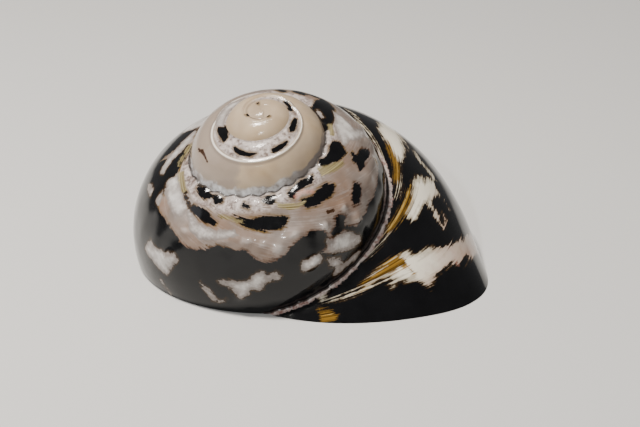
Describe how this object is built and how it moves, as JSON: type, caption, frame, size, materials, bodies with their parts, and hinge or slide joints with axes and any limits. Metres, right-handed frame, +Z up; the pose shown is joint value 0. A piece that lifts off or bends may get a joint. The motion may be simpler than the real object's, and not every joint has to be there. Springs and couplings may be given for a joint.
{
  "type": "top shell",
  "caption": "Polished spiral sea shell with a low spire, nodule rows and a wide round aperture, lying on its aperture with the apex up.",
  "frame": {"origin": "centre of the bounding box, at the resting plane", "axes": "+Z up from the resting plane, +X along the longest extent towards the last whorl, the apex leans towards -Y"},
  "size_m": [0.0886, 0.0834, 0.0476],
  "materials": {
    "shell": "polished, black with white, beige and brown flames over pearl"
  },
  "bodies": {
    "root": {"shell": "shell"}
  },
  "joints": []
}
